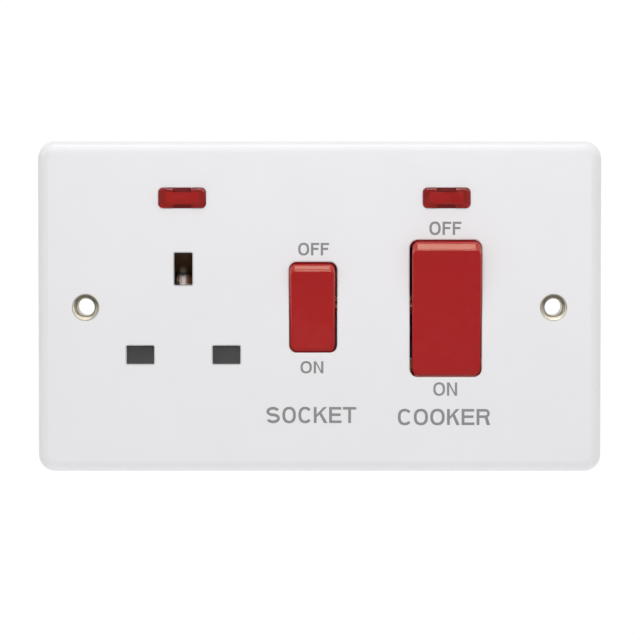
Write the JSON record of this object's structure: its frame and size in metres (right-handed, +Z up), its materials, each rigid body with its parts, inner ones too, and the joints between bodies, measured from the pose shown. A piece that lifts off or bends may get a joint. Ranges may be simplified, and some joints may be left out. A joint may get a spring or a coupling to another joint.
{
  "type": "cooker control unit",
  "caption": "White wall plate with a large and a small red rocker switch, red neon indicators and a shuttered three-pin socket, for supplying a cooker and a kitchen appliance.",
  "frame": {"origin": "midway between the two fixing holes, in the plane of the plate's rear rim where it meets the wall", "axes": "+X to the right seen from the front, +Z up, -Y out of the front face towards the user, +Y into the wall box"},
  "size_m": [0.146, 0.0386, 0.0856],
  "materials": {
    "white_moulding": "satin gloss",
    "red_moulding": "satin gloss",
    "red_lens": "polished, translucent",
    "shutter_grey": "matt",
    "carrier_grey": "matt",
    "base_pale": "matt",
    "base_dark": "matt",
    "holder_white": "matt",
    "plunger_resin": "waxy",
    "contact_brass": "rolled sheet",
    "eyelet_brass": "turned",
    "contact_tin": "tin plated",
    "contact_silver": "satin",
    "spring_steel": "drawn wire",
    "screw_steel": "zinc plated",
    "lamp_glass": "clear",
    "lead_wire": "tinned wire",
    "resistor_body": "lacquered"
  },
  "bodies": {
    "body": {"front_plate": "white_moulding", "fixing_eyelet_left": "eyelet_brass", "fixing_eyelet_right": "eyelet_brass", "earth_strap": "contact_brass", "earth_terminal": "contact_brass", "earth_terminal_screw": "screw_steel", "cooker_base": "base_dark", "cooker_base_screws": "screw_steel", "supply_live_terminal": "contact_brass", "supply_neutral_terminal": "contact_brass", "load_live_terminal": "contact_brass", "load_neutral_terminal": "contact_brass", "cooker_terminal_screws": "screw_steel", "cooker_fixed_tips": "contact_silver", "socket_base": "base_pale", "socket_base_screws": "screw_steel", "shutter_carrier": "carrier_grey", "shutter_springs": "spring_steel", "live_contact": "contact_brass", "neutral_contact": "contact_brass", "earth_contact": "contact_tin", "live_link": "contact_brass", "neutral_link": "contact_brass", "socket_fixed_tip": "contact_silver", "neon_lens_socket": "red_lens", "neon_lens_cooker": "red_lens", "neon_holder_socket": "holder_white", "neon_holder_cooker": "holder_white", "neon_lamp_socket": "lamp_glass", "neon_lamp_cooker": "lamp_glass", "neon_leads_socket": "lead_wire", "neon_leads_cooker": "lead_wire", "neon_resistor_socket": "resistor_body", "neon_resistor_cooker": "resistor_body"},
    "cooker_rocker_body": {"cooker_rocker": "red_moulding", "cooker_spring_live": "spring_steel", "cooker_spring_neutral": "spring_steel"},
    "cooker_plunger_live_body": {"cooker_plunger_live": "plunger_resin"},
    "cooker_plunger_neutral_body": {"cooker_plunger_neutral": "plunger_resin"},
    "cooker_contact_live_body": {"cooker_contact_live": "contact_brass", "cooker_moving_tip_live": "contact_silver"},
    "cooker_contact_neutral_body": {"cooker_contact_neutral": "contact_brass", "cooker_moving_tip_neutral": "contact_silver"},
    "socket_rocker_body": {"socket_rocker": "red_moulding", "socket_spring": "spring_steel"},
    "socket_plunger_body": {"socket_plunger": "plunger_resin"},
    "socket_contact_body": {"socket_contact": "contact_brass", "socket_moving_tip": "contact_silver"},
    "shutter_body": {"shutter": "shutter_grey"}
  },
  "joints": [
    {"name": "cooker_rocker_tilt", "type": "hinge", "parent": "body", "child": "cooker_rocker_body", "pos_m": [0.0325, -0.003, 0], "axis": [1, 0, 0], "range_deg": [-15, 0]},
    {"name": "socket_rocker_tilt", "type": "hinge", "parent": "body", "child": "socket_rocker_body", "pos_m": [-0.0016, -0.004, 0], "axis": [1, 0, 0], "range_deg": [-14, 0]},
    {"name": "cooker_contact_live_tilt", "type": "hinge", "parent": "body", "child": "cooker_contact_live_body", "pos_m": [0.028, 0.0093, 0], "axis": [1, 0, 0], "range_deg": [0, 16.4]},
    {"name": "cooker_contact_neutral_tilt", "type": "hinge", "parent": "body", "child": "cooker_contact_neutral_body", "pos_m": [0.037, 0.0093, 0], "axis": [1, 0, 0], "range_deg": [0, 16.4]},
    {"name": "socket_contact_tilt", "type": "hinge", "parent": "body", "child": "socket_contact_body", "pos_m": [-0.0016, 0.0066, 0], "axis": [1, 0, 0], "range_deg": [0, 17.6]},
    {"name": "cooker_plunger_live_slide", "type": "slide", "parent": "cooker_rocker_body", "child": "cooker_plunger_live_body", "axis": [0, -0.9914, -0.1305], "range_m": [0, 0.0012], "stiffness_N_per_m": 400, "springref_m": -0.003, "deforming": ["cooker_spring_live"]},
    {"name": "cooker_plunger_neutral_slide", "type": "slide", "parent": "cooker_rocker_body", "child": "cooker_plunger_neutral_body", "axis": [0, -0.9914, -0.1305], "range_m": [0, 0.0012], "stiffness_N_per_m": 400, "springref_m": -0.003, "deforming": ["cooker_spring_neutral"]},
    {"name": "socket_plunger_slide", "type": "slide", "parent": "socket_rocker_body", "child": "socket_plunger_body", "axis": [0, -0.9925, -0.1219], "range_m": [0, 0.001], "stiffness_N_per_m": 300, "springref_m": -0.003, "deforming": ["socket_spring"]},
    {"name": "shutter_slide", "type": "slide", "parent": "body", "child": "shutter_body", "axis": [0, 0, 1], "range_m": [0, 0.0052], "stiffness_N_per_m": 120, "springref_m": -0.006, "deforming": ["shutter_springs"]}
  ],
  "couplings": [
    {"joint": "cooker_contact_live_tilt", "follows": "cooker_rocker_tilt", "ratio": -1.0933},
    {"joint": "cooker_contact_neutral_tilt", "follows": "cooker_rocker_tilt", "ratio": -1.0933},
    {"joint": "socket_contact_tilt", "follows": "socket_rocker_tilt", "ratio": -1.2571}
  ]
}
